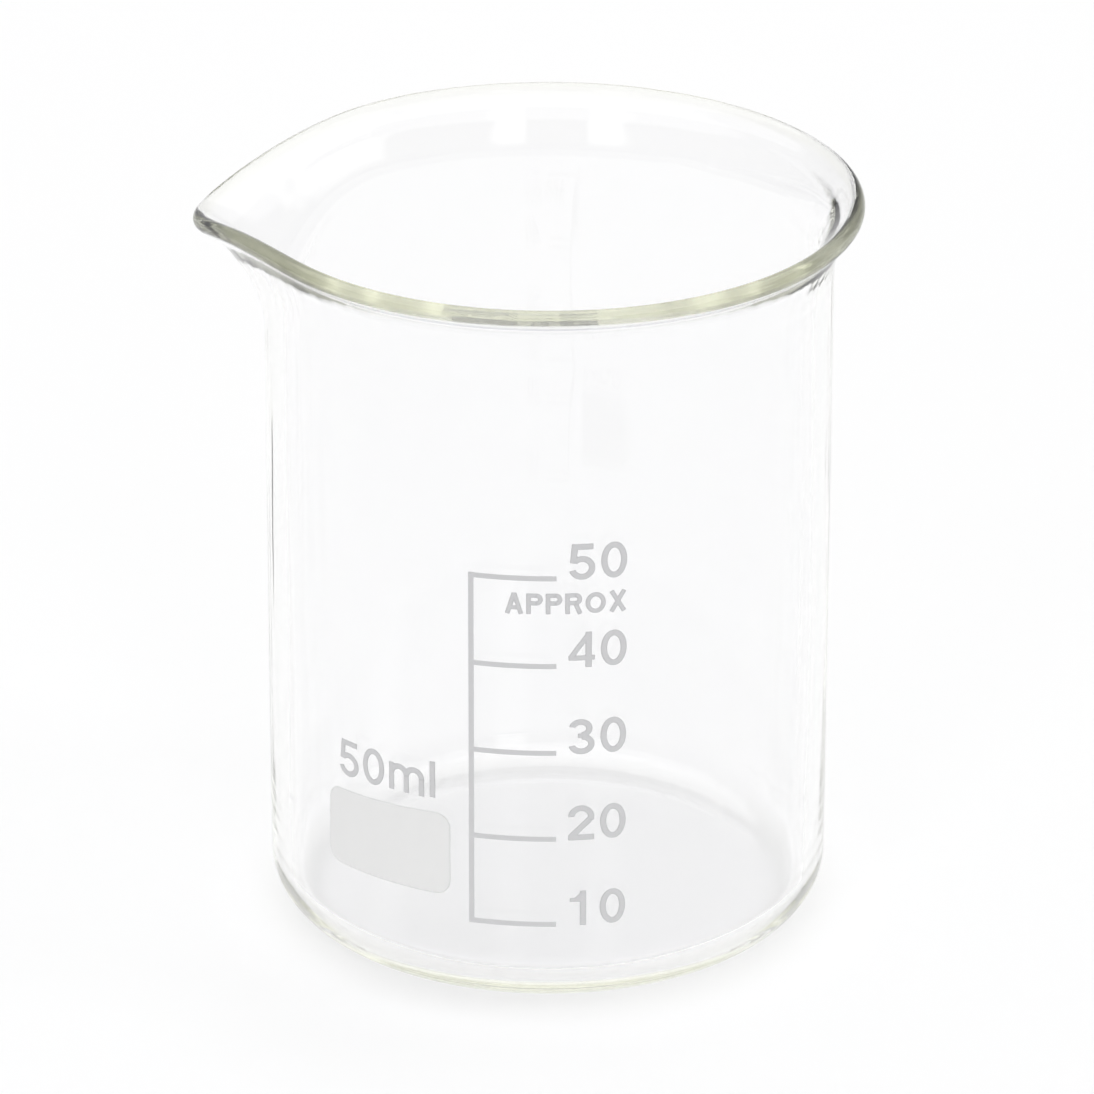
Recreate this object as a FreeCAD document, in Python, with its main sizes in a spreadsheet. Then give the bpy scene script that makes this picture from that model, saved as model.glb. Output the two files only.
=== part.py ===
"""Low-form glass beaker: one blown and flared glass vessel with fired-on enamel markings.

Frame: millimetres, +Z up, origin on the vessel's axis at the underside of its base.
The pouring spout points along -X and the graduation scale faces -Y.
"""
import FreeCAD, Part
import math
import os
import Sketcher

os.makedirs("parts", exist_ok=True)
doc = FreeCAD.newDocument("beaker")
Vector = FreeCAD.Vector
UP = Vector(0, 0, 1)

# ---------------------------------------------------------------------------
# Driving dimensions, in millimetres, and degrees where the note says so
# ---------------------------------------------------------------------------
DIMENSIONS = [
    # alias, value, note
    ("body_diameter", 44.4, "outside of the straight wall"),
    ("beaker_height", 60.0, "base to the top of the lip"),
    ("wall_thickness", 1.5, "straight wall"),
    ("base_thickness", 1.8, "flat middle of the base"),
    ("heel_radius", 4.3, "outer corner between wall and base"),
    ("lip_overhang", 2.3, "how far the flared lip stands out past the wall"),
    ("lip_thickness", 1.4, "fire-polished bead at the lip's edge"),
    ("flare_angle", 46.5, "degrees from vertical at the lip's edge"),
    ("spout_reach", 3.6, "how far the spout's tip stands out past the lip"),
    ("spout_dip", 2.9, "how far the spout's tip lies below the lip"),
    ("spout_angle", 63.0, "degrees from vertical at the spout's tip"),
    ("spout_half_angle", 42.0, "degrees about the axis, tip to the end of its flank"),
    ("dip_half_angle", 49.0, "degrees about the axis, tip to where the lip is level again"),
    ("print_thickness", 0.05, "fired enamel"),
    ("first_mark", 7.8, "height of the 10 ml mark above the base"),
    ("mark_spacing", 7.38, "height from one mark to the next"),
    ("scale_offset", 2.33, "stem's middle to the front line, along the wall"),
    ("tick_length", 6.6, "stem's middle to the end of a mark, along the wall"),
    ("line_width", 0.43, "stem and marks"),
    ("numeral_gap", 0.92, "end of a mark to its numeral"),
    ("numeral_height", 3.0, "numerals of the scale"),
    ("numeral_stroke", 0.5, "line width of the numerals"),
    ("numeral_drop", 0.15, "numeral's foot below its mark"),
    ("word_height", 1.75, "letters of the word under the top mark"),
    ("word_stroke", 0.37, "line width of those letters"),
    ("word_drop", 1.25, "top mark to the top of those letters"),
    ("capacity_height", 3.1, "letters over the marking patch"),
    ("capacity_stroke", 0.48, "line width of those letters"),
    ("capacity_gap", 1.2, "marking patch to the letters over it"),
    ("capacity_rise", 2.8, "degrees the patch's top edge and the letters' feet rise to the right"),
    ("patch_width", 11.6, "marking patch, along the wall"),
    ("patch_height", 7.1, "marking patch, at its end next to the scale"),
    ("patch_corner", 1.3, "corner radius of the marking patch"),
    ("patch_gap", 1.6, "marking patch to the scale's stem, along the wall"),
    ("patch_foot", 9.6, "underside of the marking patch above the base"),
]
MARK_VOLUMES = [10, 20, 30, 40, 50]      # millilitres
SECTION_STEP = 3.0                       # degrees between the spout's sections
SPOUT_NECK = 2.0                         # straight wall kept under the spout's root
FUSE_TOLERANCE = 1e-5                    # closes the joint of turned and lofted walls
RADIAL_ROOM = 1.0                        # stroke blanks pass this far through the print
NEARLY_PARALLEL = 0.99                   # cosine of the angle between an edge and the radius
FAN_STEP = 30                            # degrees between the corners of a fan that trims a bow
DIGIT_WIDTH = 0.68                       # as a share of the digit's height
DIGIT_GAP = 0.15                         # between digits, as a share of their height
LETTER_GAP = 0.12                        # between letters, as a share of their height

sheet = doc.addObject("Spreadsheet::Sheet", "Sheet")
for row, (alias, value, note) in enumerate(DIMENSIONS, start=1):
    sheet.set(f"A{row}", alias)
    sheet.set(f"B{row}", str(value))
    sheet.set(f"C{row}", note)
    sheet.setAlias(f"B{row}", alias)
doc.recompute()
size = {alias: float(getattr(sheet, alias)) for alias, _value, _note in DIMENSIONS}

BODY_RADIUS = size["body_diameter"] / 2
BORE_RADIUS = BODY_RADIUS - size["wall_thickness"]


# ---------------------------------------------------------------------------
# Glass vessel: lip and spout
# ---------------------------------------------------------------------------
def bell(reach):
    """1 at the middle, 0 from one reach outwards, level at both."""
    return 0.5 * (1 + math.cos(math.pi * min(abs(reach), 1.0)))


def spout_bell(reach):
    """A bell drawn to a point, as hot glass is when a rod pulls the spout out."""
    peak, rounding = 0.49, 0.18
    span = min(abs(reach), 1.0)
    eased = math.hypot(span, rounding) - rounding
    eased /= math.hypot(1.0, rounding) - rounding
    return bell(eased ** peak)


def lip_at(turn):
    """Lip radius, lip height and wall angle at a turn in degrees away from the spout's tip."""
    spout = spout_bell(turn / size["spout_half_angle"])
    dip = spout_bell(turn / size["dip_half_angle"])
    overhang = size["lip_overhang"] + spout * size["spout_reach"]
    height = size["beaker_height"] - dip * size["spout_dip"]
    angle = size["flare_angle"] + dip * (size["spout_angle"] - size["flare_angle"])
    return BODY_RADIUS + overhang, height, math.radians(angle)


def flare_root(edge_radius, edge_height, wall_radius, angle):
    """Radius of the arc that leaves the wall upright and meets the lip's edge, and its root."""
    arc_radius = (edge_radius - wall_radius) / (1 - math.cos(angle))
    return arc_radius, edge_height - arc_radius * math.sin(angle)


def lip_geometry(turn):
    """Bead centre, the flare's two ends on it, and each flare arc's radius and root height."""
    lip_radius, lip_height, angle = lip_at(turn)
    bead = size["lip_thickness"] / 2
    centre = (lip_radius - bead, lip_height - bead)
    across = (bead * math.cos(angle), -bead * math.sin(angle))
    outer_end = (centre[0] + across[0], centre[1] + across[1])
    inner_end = (centre[0] - across[0], centre[1] - across[1])
    outer = flare_root(*outer_end, BODY_RADIUS, angle)
    inner = flare_root(*inner_end, BORE_RADIUS, angle)
    return centre, outer_end, inner_end, outer, inner, angle


def curve(*poles):
    bezier = Part.BezierCurve()
    bezier.setPoles(list(poles))
    return bezier.toShape()


def lip_section(turn, foot):
    """Closed outline of the wall, flare and bead in the radial plane at a turn from the tip."""
    centre, outer_end, inner_end, outer, inner, angle = lip_geometry(turn)
    heading = math.radians(180 + turn)

    def point(radius, height):
        return Vector(radius * math.cos(heading), radius * math.sin(heading), height)

    def along(start, distance):
        """A pole this far on from start, in the direction the flare points at the bead."""
        return start[0] + distance * math.sin(angle), start[1] + distance * math.cos(angle)

    def outward(start, distance):
        """A pole this far from start, square to the flare, away from the bore."""
        return start[0] + distance * math.cos(angle), start[1] - distance * math.sin(angle)

    bead = size["lip_thickness"] / 2
    edge = along(centre, bead)
    flare_pole = 4 / 3 * math.tan(angle / 4)
    bead_pole = 4 / 3 * math.tan(math.pi / 8) * bead
    outer_radius, outer_root = outer
    inner_radius, inner_root = inner
    return Part.Wire([
        Part.makeLine(point(BODY_RADIUS, foot), point(BODY_RADIUS, outer_root)),
        curve(point(BODY_RADIUS, outer_root),
              point(BODY_RADIUS, outer_root + flare_pole * outer_radius),
              point(*along(outer_end, -flare_pole * outer_radius)),
              point(*outer_end)),
        curve(point(*outer_end), point(*along(outer_end, bead_pole)),
              point(*outward(edge, bead_pole)), point(*edge)),
        curve(point(*edge), point(*outward(edge, -bead_pole)),
              point(*along(inner_end, bead_pole)), point(*inner_end)),
        curve(point(*inner_end),
              point(*along(inner_end, -flare_pole * inner_radius)),
              point(BORE_RADIUS, inner_root + flare_pole * inner_radius),
              point(BORE_RADIUS, inner_root)),
        Part.makeLine(point(BORE_RADIUS, inner_root), point(BORE_RADIUS, foot)),
        Part.makeLine(point(BORE_RADIUS, foot), point(BODY_RADIUS, foot)),
    ])


def rim_foot():
    """Height at which the turned wall ends and the rim with its spout begins."""
    _centre, _outer_end, _inner_end, outer, inner, _angle = lip_geometry(0)
    return min(outer[1], inner[1]) - SPOUT_NECK


def make_rim(foot):
    """The plain flared rim as a turned ring, and the spout's sector as a loft."""
    half_sector = SECTION_STEP * math.ceil(
        max(size["spout_half_angle"], size["dip_half_angle"]) / SECTION_STEP)
    steps = round(2 * half_sector / SECTION_STEP)
    turns = [-half_sector + step * SECTION_STEP for step in range(steps + 1)]
    spout = Part.makeLoft([lip_section(turn, foot) for turn in turns], True, False)
    plain = Part.Face(lip_section(half_sector, foot))
    ring = plain.revolve(Vector(), UP, 360 - 2 * half_sector)
    return ring, spout


# ---------------------------------------------------------------------------
# Glass vessel: base, heel and straight wall, turned about the axis
# ---------------------------------------------------------------------------
def origin_feature(body, role):
    return next(item for item in body.Origin.OriginFeatures if item.Role == role)


def make_turned_wall(foot):
    body = doc.addObject("PartDesign::Body", "turned_wall")
    sketch = body.newObject("Sketcher::SketchObject", "wall_profile")
    sketch.AttachmentSupport = [(origin_feature(body, "XZ_Plane"), "")]
    sketch.MapMode = "FlatFace"

    heel = size["heel_radius"]
    inner_heel = heel - size["wall_thickness"]
    base = size["base_thickness"]
    flat = BODY_RADIUS - heel
    corner_out = [Vector(flat, 0, 0), Vector(BODY_RADIUS, heel, 0), Vector(flat, heel, 0)]
    corner_in = [Vector(flat, base, 0), Vector(BORE_RADIUS, base + inner_heel, 0),
                 Vector(flat, base + inner_heel, 0)]

    def add_line(start, end):
        return sketch.addGeometry(Part.LineSegment(start, end), False)

    def add_arc(centre, radius):
        circle = Part.Circle(centre, Vector(0, 0, 1), radius)
        return sketch.addGeometry(Part.ArcOfCircle(circle, -math.pi / 2, 0), False)

    underside = add_line(Vector(0, 0, 0), corner_out[0])
    outer_heel = add_arc(corner_out[2], heel)
    outside = add_line(corner_out[1], Vector(BODY_RADIUS, foot, 0))
    top = add_line(Vector(BODY_RADIUS, foot, 0), Vector(BORE_RADIUS, foot, 0))
    inside = add_line(Vector(BORE_RADIUS, foot, 0), corner_in[1])
    inner_corner = add_arc(corner_in[2], inner_heel)
    floor = add_line(corner_in[0], Vector(0, base, 0))
    middle = add_line(Vector(0, base, 0), Vector(0, 0, 0))

    START, END, CENTRE, ORIGIN = 1, 2, 3, -1
    joins = [(underside, END, outer_heel, START), (outer_heel, END, outside, START),
             (inside, END, inner_corner, END), (inner_corner, START, floor, START)]
    for join in joins:
        sketch.addConstraint(Sketcher.Constraint("Tangent", *join))
    for join in [(outside, END, top, START), (top, END, inside, START),
                 (floor, END, middle, START), (middle, END, underside, START)]:
        sketch.addConstraint(Sketcher.Constraint("Coincident", *join))
    sketch.addConstraint(Sketcher.Constraint("Coincident", underside, START, ORIGIN, START))
    for line in (underside, top, floor):
        sketch.addConstraint(Sketcher.Constraint("Horizontal", line))
    for line in (outside, inside, middle):
        sketch.addConstraint(Sketcher.Constraint("Vertical", line))

    def drive(name, kind, *arguments, formula):
        index = sketch.addConstraint(Sketcher.Constraint(kind, *arguments))
        sketch.renameConstraint(index, name)
        sketch.setExpression(f"Constraints.{name}", formula)

    drive("body_radius", "DistanceX", ORIGIN, START, outside, END, BODY_RADIUS,
          formula="Sheet.body_diameter / 2")
    drive("wall", "DistanceX", top, END, top, START, size["wall_thickness"],
          formula="Sheet.wall_thickness")
    drive("heel", "Radius", outer_heel, heel, formula="Sheet.heel_radius")
    drive("inner_heel", "Radius", inner_corner, inner_heel,
          formula="Sheet.heel_radius - Sheet.wall_thickness")
    drive("base", "DistanceY", middle, END, middle, START, base, formula="Sheet.base_thickness")
    sketch.addConstraint(Sketcher.Constraint("DistanceY", ORIGIN, START, outside, END, foot))

    turned = body.newObject("PartDesign::Revolution", "turning")
    turned.Profile = sketch
    turned.ReferenceAxis = (sketch, ["V_Axis"])
    turned.Angle = 360
    body.Tip = turned
    doc.recompute()
    return body


def make_vessel():
    foot = rim_foot()
    wall = make_turned_wall(foot)
    ring, spout = make_rim(foot)
    vessel = doc.addObject("Part::Feature", "glass_vessel")
    vessel.Shape = wall.Shape.fuse([ring, spout], FUSE_TOLERANCE).Solids[0]
    return vessel


# ---------------------------------------------------------------------------
# Enamel markings: every one is a blank cut down to a thin sleeve on the outside of the wall
# ---------------------------------------------------------------------------
def make_print_sleeve():
    cylinders = []
    for name, radius in (("sleeve_outside", "Sheet.body_diameter / 2 + Sheet.print_thickness"),
                         ("sleeve_inside", "Sheet.body_diameter / 2")):
        cylinder = doc.addObject("Part::Cylinder", name)
        cylinder.setExpression("Radius", radius)
        cylinder.setExpression("Height", "Sheet.beaker_height")
        cylinders.append(cylinder)
    sleeve = doc.addObject("Part::Cut", "print_sleeve")
    sleeve.Base, sleeve.Tool = cylinders
    return sleeve


def print_on_wall(name, blank, sleeve):
    node = doc.addObject("Part::Common", name)
    node.Base = blank
    node.Tool = sleeve
    return node


DEGREES_PER_LENGTH = "* 180 / (pi * Sheet.body_diameter / 2)"


def make_sector(name, start, length, foot, height):
    """A wedge about the axis, from start along the wall, each size an expression on the sheet."""
    sector = doc.addObject("Part::Cylinder", name)
    sector.setExpression("Radius", f"Sheet.body_diameter / 2 + {RADIAL_ROOM}")
    sector.setExpression("Angle", f"({length}) {DEGREES_PER_LENGTH}")
    sector.setExpression("Height", height)
    sector.Placement = FreeCAD.Placement(Vector(), UP, -90)
    sector.setExpression("Placement.Rotation.Angle", f"-90 + ({start}) {DEGREES_PER_LENGTH}")
    sector.setExpression("Placement.Base.z", foot)
    return sector


def make_scale(sleeve):
    """The stem and its five marks, printed as one connected line drawing."""
    half_line = "Sheet.line_width / 2"
    stem_start = f"-Sheet.scale_offset - {half_line}"
    top_mark = f"Sheet.first_mark + {len(MARK_VOLUMES) - 1} * Sheet.mark_spacing"
    strokes = [make_sector("stem", stem_start, "Sheet.line_width",
                           f"Sheet.first_mark - {half_line}",
                           f"{top_mark} - Sheet.first_mark + Sheet.line_width")]
    for step, volume in enumerate(MARK_VOLUMES):
        foot = f"Sheet.first_mark + {step} * Sheet.mark_spacing - {half_line}"
        strokes.append(make_sector(f"mark_{volume}", stem_start, f"Sheet.tick_length + {half_line}",
                                   foot, "Sheet.line_width"))
    drawing = doc.addObject("Part::MultiFuse", "scale_strokes")
    drawing.Shapes = strokes
    return print_on_wall("graduation_scale", drawing, sleeve)


def make_patch(sleeve):
    """Rounded block for writing on, left of the scale, with a top edge that rises to the right."""
    block = doc.addObject("Part::Wedge", "patch_block")
    sizes = {
        "Xmin": f"Sheet.body_diameter / 2 - {RADIAL_ROOM}",
        "Xmax": f"Sheet.body_diameter / 2 + {RADIAL_ROOM}",
        "X2min": f"Sheet.body_diameter / 2 - {RADIAL_ROOM}",
        "X2max": f"Sheet.body_diameter / 2 + {RADIAL_ROOM}",
        "Ymin": "-Sheet.patch_width / 2",
        "Ymax": "Sheet.patch_width / 2",
        "Zmax": "Sheet.patch_height - Sheet.patch_width * tan(Sheet.capacity_rise * 1deg)",
        "Z2max": "Sheet.patch_height",
    }
    block.Zmin = block.Z2min = 0
    for name, formula in sizes.items():
        block.setExpression(name, formula)
    turn = math.degrees(patch_centre() / BODY_RADIUS) - 90
    block.Placement = FreeCAD.Placement(Vector(), UP, turn)
    block.setExpression("Placement.Base.z", "Sheet.patch_foot")
    doc.recompute()
    rounded = doc.addObject("Part::Fillet", "patch_rounded")
    rounded.Base = block
    radial = block.Placement.Rotation.multVec(Vector(1, 0, 0))
    corners = [number for number, edge in enumerate(block.Shape.Edges, start=1)
               if abs(edge.tangentAt(edge.FirstParameter).dot(radial)) > NEARLY_PARALLEL]
    rounded.Edges = [(number, size["patch_corner"], size["patch_corner"]) for number in corners]
    return print_on_wall("marking_patch", rounded, sleeve)


def patch_centre():
    """The patch's middle, along the wall from the front line."""
    right = -size["scale_offset"] - size["line_width"] / 2 - size["patch_gap"]
    return right - size["patch_width"] / 2


# ---------------------------------------------------------------------------
# Characters, drawn with a constant line width in a box with its foot on y = 0
# ---------------------------------------------------------------------------
def bar(start, end, stroke):
    """A straight stroke with square ends."""
    run = Vector(end[0] - start[0], end[1] - start[1], 0)
    side = Vector(-run.y, run.x, 0)
    side.multiply(stroke / 2 / side.Length)
    first, last = Vector(*start, 0), Vector(*end, 0)
    corners = [first + side, last + side, last - side, first - side, first + side]
    return Part.Face(Part.makePolygon(corners))


def ellipse_face(centre, half_width, half_height):
    circle = Part.Face(Part.Wire(Part.makeCircle(1.0)))
    matrix = FreeCAD.Matrix()
    matrix.scale(half_width, half_height, 1)
    matrix.move(Vector(*centre, 0))
    return circle.transformGeometry(matrix)


def bow(centre, half_width, half_height, stroke, start=0, sweep=360):
    """Part of an oval ring: outside half sizes, from a start angle through a sweep in degrees."""
    ring = ellipse_face(centre, half_width, half_height).cut(
        ellipse_face(centre, half_width - stroke, half_height - stroke))
    if sweep >= 360:
        return ring
    reach = 2 * max(half_width, half_height)
    fan = [Vector(*centre, 0)]
    steps = max(2, math.ceil(sweep / FAN_STEP))
    for step in range(steps + 1):
        angle = math.radians(start + sweep * step / steps)
        fan.append(Vector(centre[0] + reach * math.cos(angle),
                          centre[1] + reach * math.sin(angle), 0))
    fan.append(fan[0])
    return ring.common(Part.Face(Part.makePolygon(fan)))


def glyph_0(height, stroke):
    width = DIGIT_WIDTH * height
    return width, [bow((width / 2, height / 2), width / 2, height / 2, stroke)]


def glyph_1(height, stroke):
    width = DIGIT_WIDTH * height
    stem = 0.58 * width
    flag = 0.74 * height
    return width, [bar((stem, 0), (stem, height), stroke),
                   bar((0.07 * width, flag), (stem, flag), 0.7 * stroke),
                   bar((0.30 * width, flag), (stem, 0.93 * height), 0.7 * stroke)]


def glyph_2(height, stroke):
    width = DIGIT_WIDTH * height
    bowl = 0.33 * height
    middle = (width / 2, height - bowl)
    return width, [bow(middle, width / 2, bowl, stroke, -20, 200),
                   bar((0.84 * width, 0.60 * height), (0.10 * width, 0.6 * stroke), stroke),
                   bar((0, stroke / 2), (width, stroke / 2), stroke)]


def glyph_3(height, stroke):
    width = DIGIT_WIDTH * height
    upper, lower = 0.27 * height, 0.29 * height
    return width, [bow((0.47 * width, height - upper), 0.45 * width, upper, stroke, -80, 250),
                   bow((width / 2, lower), width / 2, lower, stroke, -170, 260),
                   bar((0.36 * width, 0.53 * height), (0.55 * width, 0.53 * height), 0.8 * stroke)]


def glyph_4(height, stroke):
    width = DIGIT_WIDTH * height
    stem = 0.76 * width
    cross = 0.27 * height
    return width, [bar((stem, 0), (stem, height), stroke),
                   bar((0, cross), (width, cross), 0.85 * stroke),
                   bar((0.07 * width, cross), (stem, 0.93 * height), 0.85 * stroke)]


def glyph_5(height, stroke):
    width = DIGIT_WIDTH * height
    bowl = 0.33 * height
    shoulder = (0.17 * width, 0.46 * height)
    return width, [bow((width / 2, bowl), width / 2, bowl, stroke, -165, 305),
                   bar(shoulder, (0.24 * width, height), stroke),
                   bar((0.14 * width, height - stroke / 2), (0.93 * width, height - stroke / 2), stroke)]


def glyph_a(height, stroke):
    width = 0.82 * height
    lean = stroke / 2
    return width, [bar((lean, 0), (width / 2, height), stroke),
                   bar((width - lean, 0), (width / 2, height), stroke),
                   bar((0.24 * width, 0.30 * height), (0.76 * width, 0.30 * height), 0.9 * stroke)]


def bowl_strokes(width, height, stroke):
    """The stem and closed bowl that P and R share."""
    bowl = 0.29 * height
    shoulder = width - bowl
    return [bar((stroke / 2, 0), (stroke / 2, height), stroke),
            bar((0, height - stroke / 2), (shoulder, height - stroke / 2), stroke),
            bar((0, height - 2 * bowl + stroke / 2), (shoulder, height - 2 * bowl + stroke / 2), stroke),
            bow((shoulder, height - bowl), bowl, bowl, stroke, -90, 180)]


def glyph_p(height, stroke):
    width = 0.73 * height
    return width, bowl_strokes(width, height, stroke)


def glyph_r(height, stroke):
    width = 0.77 * height
    leg = bar((0.62 * width, 0.45 * height), (width - stroke / 2, 0), stroke)
    return width, bowl_strokes(width - 0.02 * height, height, stroke) + [leg]


def glyph_o(height, stroke):
    width = 0.90 * height
    return width, [bow((width / 2, height / 2), width / 2, height / 2, stroke)]


def glyph_x(height, stroke):
    width = 0.83 * height
    lean = 0.6 * stroke
    return width, [bar((lean, 0), (width - lean, height), stroke),
                   bar((width - lean, 0), (lean, height), stroke)]


def glyph_m(height, stroke):
    width, small = 1.02 * height, 0.76 * height
    middle = width / 2
    arch = (middle + stroke / 2) / 2
    strokes = [bar((stroke / 2, 0), (stroke / 2, small), stroke)]
    for left in (0, middle - stroke / 2):
        strokes.append(bow((left + arch, small - arch), arch, arch, stroke, 0, 180))
        right = left + 2 * arch - stroke / 2
        strokes.append(bar((right, 0), (right, small - arch), stroke))
    return width, strokes


def glyph_l(height, stroke):
    return stroke, [bar((stroke / 2, 0), (stroke / 2, height), stroke)]


GLYPHS = {
    "0": glyph_0, "1": glyph_1, "2": glyph_2, "3": glyph_3, "4": glyph_4, "5": glyph_5,
    "A": glyph_a, "P": glyph_p, "R": glyph_r, "O": glyph_o, "X": glyph_x,
    "m": glyph_m, "l": glyph_l,
}


def text_width(text, height, stroke, gap):
    widths = [GLYPHS[character](height, stroke)[0] for character in text]
    return sum(widths) + gap * (len(text) - 1)


def make_text(name, text, left, foot, height, stroke, gap, sleeve, rise=0.0):
    """Upright characters on the wall: left is along the wall from the front line, foot is a height.

    Each character stands a little higher than the one before it where rise, in degrees, isn't 0.
    """
    solids = []
    start = left
    for character in text:
        width, strokes = GLYPHS[character](height, stroke)
        bars = [stroke_face.extrude(Vector(0, 0, 2 * RADIAL_ROOM)) for stroke_face in strokes]
        blank = bars[0].fuse(bars[1:]) if len(bars) > 1 else bars[0]
        turn = math.degrees((left + width / 2) / BODY_RADIUS)
        facing = FreeCAD.Rotation(UP, turn) * FreeCAD.Rotation(Vector(1, 0, 0), 90)
        lift = foot + (left + width / 2 - start) * math.tan(math.radians(rise))
        corner = facing.multVec(Vector(-width / 2, 0, 0)) + UP * lift
        outward = facing.multVec(UP)
        blank.Placement = FreeCAD.Placement(outward * (BODY_RADIUS - RADIAL_ROOM) + corner, facing)
        solids.append(blank)
        left += width + gap
    blanks = doc.addObject("Part::Feature", f"{name}_strokes")
    blanks.Shape = Part.makeCompound(solids)
    return print_on_wall(name, blanks, sleeve)


def numeral_left():
    """Where the numerals begin, along the wall from the front line."""
    return size["tick_length"] - size["scale_offset"] + size["numeral_gap"]


def make_numerals(sleeve):
    height, stroke = size["numeral_height"], size["numeral_stroke"]
    numerals = []
    for step, volume in enumerate(MARK_VOLUMES):
        foot = size["first_mark"] + step * size["mark_spacing"] - size["numeral_drop"]
        numerals.append(make_text(f"numeral_{volume}", str(volume), numeral_left(), foot,
                                  height, stroke, DIGIT_GAP * height, sleeve))
    return numerals


def make_approx_word(sleeve):
    """The word that ends in line with the numerals, between the two highest marks."""
    text, height, stroke = "APPROX", size["word_height"], size["word_stroke"]
    gap = LETTER_GAP * height
    right = numeral_left() + text_width("50", size["numeral_height"], size["numeral_stroke"],
                                        DIGIT_GAP * size["numeral_height"])
    top_mark = size["first_mark"] + (len(MARK_VOLUMES) - 1) * size["mark_spacing"]
    foot = top_mark - size["word_drop"] - height
    return make_text("approx_word", text, right - text_width(text, height, stroke, gap), foot,
                     height, stroke, gap, sleeve)


def make_capacity_mark(sleeve):
    """The nominal capacity, centred over the marking patch and parallel to its top edge."""
    text, height, stroke = "50ml", size["capacity_height"], size["capacity_stroke"]
    gap = DIGIT_GAP * height
    left = patch_centre() - text_width(text, height, stroke, gap) / 2
    patch_right = patch_centre() + size["patch_width"] / 2
    slope = math.tan(math.radians(size["capacity_rise"]))
    patch_top = size["patch_foot"] + size["patch_height"] - (patch_right - left) * slope
    return make_text("capacity_mark", text, left, patch_top + size["capacity_gap"],
                     height, stroke, gap, sleeve, size["capacity_rise"])


# ---------------------------------------------------------------------------
# Build, check and export
# ---------------------------------------------------------------------------
def check(nodes):
    for item in doc.Objects:
        failed = [state for state in item.State if state in ("Invalid", "Error")]
        if failed:
            raise RuntimeError(f"{item.Label}: {failed}")
    for node in nodes:
        if node.Shape.isNull() or not node.Shape.isValid() or not node.Shape.Solids:
            raise RuntimeError(f"{node.Label}: no valid solid")


sleeve = make_print_sleeve()
nodes = [make_vessel(), make_scale(sleeve), make_patch(sleeve), make_approx_word(sleeve),
         make_capacity_mark(sleeve), *make_numerals(sleeve)]
doc.recompute()
check(nodes)
for node in nodes:
    node.Shape.exportStep(f"parts/{node.Label}.step")
    print(f"{node.Label}: {len(node.Shape.Solids)} solid(s), {node.Shape.Volume:.3f} mm3")

division = math.pi * BORE_RADIUS ** 2 * size["mark_spacing"] / 1000
print(f"one division of the scale holds {division:.2f} ml of the bore")
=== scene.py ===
import math

import bpy
import numpy as np
from mathutils import Matrix, Vector


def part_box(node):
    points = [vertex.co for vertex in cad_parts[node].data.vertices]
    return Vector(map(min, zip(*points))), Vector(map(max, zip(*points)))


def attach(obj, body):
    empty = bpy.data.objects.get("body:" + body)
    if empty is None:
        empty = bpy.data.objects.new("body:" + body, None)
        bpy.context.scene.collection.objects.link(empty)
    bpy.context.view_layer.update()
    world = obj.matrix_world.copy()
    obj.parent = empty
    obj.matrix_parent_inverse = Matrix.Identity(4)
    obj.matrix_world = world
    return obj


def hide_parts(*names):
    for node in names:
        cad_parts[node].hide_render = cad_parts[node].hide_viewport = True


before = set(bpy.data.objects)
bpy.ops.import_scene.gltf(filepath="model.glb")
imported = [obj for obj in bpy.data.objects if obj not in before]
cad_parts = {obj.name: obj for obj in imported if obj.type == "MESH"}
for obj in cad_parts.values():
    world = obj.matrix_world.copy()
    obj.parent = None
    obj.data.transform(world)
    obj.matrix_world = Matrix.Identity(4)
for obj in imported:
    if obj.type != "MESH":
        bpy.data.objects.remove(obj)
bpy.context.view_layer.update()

# A low-form glass beaker: one blown vessel with a flared lip and a pulled spout, and the
# enamel markings that are fired onto its wall. +Z is up, the spout points along -X and the
# scale faces -Y. Sizes are in millimetres here and become metres through MM.
MM = 0.001
TINY = 1e-6               # keeps a division by a length from failing on the axis

# Glass vessel, outside sizes from the frame
vessel_low, vessel_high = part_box("glass_vessel")
LIP_RADIUS = vessel_high.x / MM
LIP_HEIGHT = vessel_high.z / MM
SPOUT_REACH = -vessel_low.x / MM - LIP_RADIUS

# Glass vessel, sizes of the blown shape
BODY_RADIUS = 22.2
WALL = 1.5
BASE = 1.8
HEEL_RADIUS = 4.3
LIP_BEAD = 0.7            # radius of the fire-polished edge
LIP_WAIST = 0.12          # the flare is this much thinner than the edge on each side
WAIST_PLACE = 0.8         # and thinnest at this share of its length
FLARE_ANGLE = 46.5        # degrees from vertical at the lip's edge
SPOUT_DIP = 2.9
SPOUT_ANGLE = 63.0
SPOUT_HALF_ANGLE = 42.0   # degrees about the axis, tip to the end of its flank
DIP_HALF_ANGLE = 49.0     # degrees about the axis, tip to where the lip is level again
PLAIN_WALL = 44.0         # the wall is upright and round up to here
TURN_STEPS = 400
TURN_CROWDING = 0.45      # how much closer the steps lie at the tip, as a share
RIM_FALL = 30.0           # power by which the lip's look fades down the flare
MERGE_DISTANCE = 1e-7     # metres

# Camera
CAMERA_TURN = 9.4         # degrees about the axis, from straight in front
CAMERA_DISTANCE = 0.5448  # metres
CAMERA_HEIGHT = 0.2780
CAMERA_DOWN = 0.4274      # radians under the horizon
CAMERA_ROLL = 0.0014
CAMERA_PAN = -0.0002
CAMERA_LENS = 249.1       # millimetres, on a sensor 36 wide

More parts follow.
